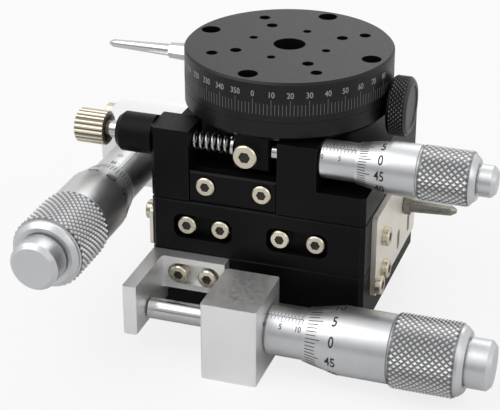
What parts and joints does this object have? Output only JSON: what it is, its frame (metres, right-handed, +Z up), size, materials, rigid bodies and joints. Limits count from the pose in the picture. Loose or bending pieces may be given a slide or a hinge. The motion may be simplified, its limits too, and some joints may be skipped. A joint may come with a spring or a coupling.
{
  "type": "rotation stage",
  "caption": "Manual XY and rotation stage with a round black table, crossed roller ways and micrometer heads on X, Y and fine rotation.",
  "frame": {"origin": "centre of the base's underside, below the table's axis at rest", "axes": "+Z up along the table's axis, +X along the front face towards the rotation micrometer, the front faces -Y"},
  "size_m": [0.1364, 0.1091, 0.079],
  "materials": {
    "black_anodised": "satin black anodised",
    "silver_aluminium": "clear anodised",
    "satin_chrome": "satin chrome",
    "polished_steel": "ground and polished",
    "nickel_screws": "nickel plated",
    "brass": "turned",
    "spring_steel": "drawn wire"
  },
  "bodies": {
    "base": {"base_plate": "black_anodised", "x_fixed_rails": "polished_steel", "x_fixed_pin": "polished_steel", "x_return_spring": "spring_steel", "x_clamp_block": "silver_aluminium", "x_block_screws": "nickel_screws", "x_barrel": "satin_chrome"},
    "x_spindle_body": {"x_spindle": "polished_steel"},
    "x_thimble_body": {"x_thimble": "satin_chrome", "x_cap": "satin_chrome"},
    "x_cage": {"x_cages": "brass", "x_rollers": "polished_steel"},
    "x_stage": {"x_carriage": "black_anodised", "x_moving_rails": "polished_steel", "x_moving_pin": "polished_steel", "middle_body": "black_anodised", "pair_screws": "nickel_screws", "stack_screws": "nickel_screws", "x_anvil": "silver_aluminium", "x_anvil_screws": "nickel_screws", "y_fixed_rails": "polished_steel", "y_fixed_pin": "polished_steel", "y_return_spring": "spring_steel", "y_anvil": "silver_aluminium", "y_anvil_screws": "nickel_screws", "side_plates": "silver_aluminium", "side_screws": "nickel_screws"},
    "y_cage": {"y_cages": "brass", "y_rollers": "polished_steel"},
    "y_stage": {"rotation_base": "black_anodised", "front_panel": "black_anodised", "panel_screws": "nickel_screws", "y_moving_rails": "polished_steel", "y_moving_pin": "polished_steel", "y_clamp_block": "silver_aluminium", "y_block_screws": "nickel_screws", "y_barrel": "satin_chrome", "r_barrel": "satin_chrome", "preload_sleeve": "black_anodised", "lock_bracket": "black_anodised", "arm_spring": "spring_steel"},
    "y_spindle_body": {"y_spindle": "polished_steel"},
    "y_thimble_body": {"y_thimble": "satin_chrome", "y_cap": "satin_chrome"},
    "r_spindle_body": {"r_spindle": "polished_steel"},
    "r_thimble_body": {"r_thimble": "satin_chrome", "r_cap": "satin_chrome"},
    "tangent": {"tangent_ring": "black_anodised", "tangent_arm": "black_anodised", "arm_screw": "nickel_screws", "spring_cup": "polished_steel"},
    "table": {"rotary_table": "black_anodised", "hub_retainer": "black_anodised", "retainer_screws": "nickel_screws"},
    "preload_rod_body": {"preload_rod": "polished_steel"},
    "preload_knob_body": {"preload_knob": "brass"},
    "clamp_screw_body": {"clamp_screw": "polished_steel"},
    "clamp_knob_body": {"clamp_knob": "black_anodised"},
    "fine_lock_body": {"fine_lock_lever": "polished_steel"},
    "y_lock_body": {"y_lock_lever": "polished_steel"}
  },
  "joints": [
    {"name": "x_spindle_slide", "type": "slide", "parent": "base", "child": "x_spindle_body", "axis": [1, 0, 0], "range_m": [-0.00655, 0.00655]},
    {"name": "x_thimble_turn", "type": "hinge", "parent": "x_spindle_body", "child": "x_thimble_body", "pos_m": [0.04, -0.0445, 0.0121], "axis": [1, 0, 0], "range_deg": [-4700, 4700]},
    {"name": "x_slide", "type": "slide", "parent": "base", "child": "x_stage", "axis": [1, 0, 0], "range_m": [-0.0065, 0.0065], "deforming": ["x_return_spring"]},
    {"name": "x_cage_slide", "type": "slide", "parent": "base", "child": "x_cage", "axis": [1, 0, 0], "range_m": [-0.0033, 0.0033]},
    {"name": "y_spindle_slide", "type": "slide", "parent": "y_stage", "child": "y_spindle_body", "axis": [0, -1, 0], "range_m": [-0.00655, 0.00655]},
    {"name": "y_thimble_turn", "type": "hinge", "parent": "y_spindle_body", "child": "y_thimble_body", "pos_m": [-0.046, -0.04, 0.0385], "axis": [0, -1, 0], "range_deg": [-4700, 4700]},
    {"name": "y_slide", "type": "slide", "parent": "x_stage", "child": "y_stage", "axis": [0, 1, 0], "range_m": [-0.0065, 0.0065], "deforming": ["y_return_spring"]},
    {"name": "y_cage_slide", "type": "slide", "parent": "x_stage", "child": "y_cage", "axis": [0, 1, 0], "range_m": [-0.0033, 0.0033]},
    {"name": "r_spindle_slide", "type": "slide", "parent": "y_stage", "child": "r_spindle_body", "axis": [1, 0, 0], "range_m": [-0.00212, 0.00212]},
    {"name": "r_thimble_turn", "type": "hinge", "parent": "r_spindle_body", "child": "r_thimble_body", "pos_m": [0.04, -0.0245, 0.0566], "axis": [1, 0, 0], "range_deg": [-1510, 1510]},
    {"name": "fine_rotation", "type": "hinge", "parent": "y_stage", "child": "tangent", "pos_m": [0, 0, 0.0614], "axis": [0, 0, 1], "range_deg": [-4.87, 4.87], "deforming": ["arm_spring"]},
    {"name": "table_turn", "type": "hinge", "parent": "tangent", "child": "table", "pos_m": [0, 0, 0.07], "axis": [0, 0, 1], "continuous": true},
    {"name": "preload_rod_slide", "type": "slide", "parent": "y_stage", "child": "preload_rod_body", "axis": [-1, 0, 0], "range_m": [-0.00105, 0.00105], "deforming": ["arm_spring"]},
    {"name": "preload_knob_turn", "type": "hinge", "parent": "preload_rod_body", "child": "preload_knob_body", "pos_m": [-0.05, -0.0245, 0.0566], "axis": [-1, 0, 0], "range_deg": [-545, 545]},
    {"name": "clamp_screw_slide", "type": "slide", "parent": "tangent", "child": "clamp_screw_body", "axis": [1, 0, 0], "range_m": [-0.00024, 0.00097]},
    {"name": "clamp_knob_turn", "type": "hinge", "parent": "clamp_screw_body", "child": "clamp_knob_body", "pos_m": [0.033, 0, 0.06442], "axis": [1, 0, 0], "range_deg": [-125, 500]},
    {"name": "fine_lock_turn", "type": "hinge", "parent": "y_stage", "child": "fine_lock_body", "pos_m": [-0.04, 0.02, 0.06442], "axis": [-1, 0, 0], "range_deg": [-180, 180]},
    {"name": "y_lock_turn", "type": "hinge", "parent": "x_stage", "child": "y_lock_body", "pos_m": [0.036, 0.011, 0.0284], "axis": [1, 0, 0], "range_deg": [-180, 180]}
  ],
  "couplings": [
    {"joint": "x_spindle_slide", "follows": "x_slide", "ratio": 1},
    {"joint": "x_thimble_turn", "follows": "x_slide", "rad_per_m": 12566},
    {"joint": "x_cage_slide", "follows": "x_slide", "ratio": 0.5},
    {"joint": "y_spindle_slide", "follows": "y_slide", "ratio": 1},
    {"joint": "y_thimble_turn", "follows": "y_slide", "rad_per_m": 12566},
    {"joint": "y_cage_slide", "follows": "y_slide", "ratio": 0.5},
    {"joint": "r_spindle_slide", "follows": "fine_rotation", "m_per_rad": 0.0245},
    {"joint": "r_thimble_turn", "follows": "fine_rotation", "ratio": 307.88},
    {"joint": "preload_knob_turn", "follows": "preload_rod_slide", "rad_per_m": 8976},
    {"joint": "clamp_knob_turn", "follows": "clamp_screw_slide", "rad_per_m": 8976}
  ]
}
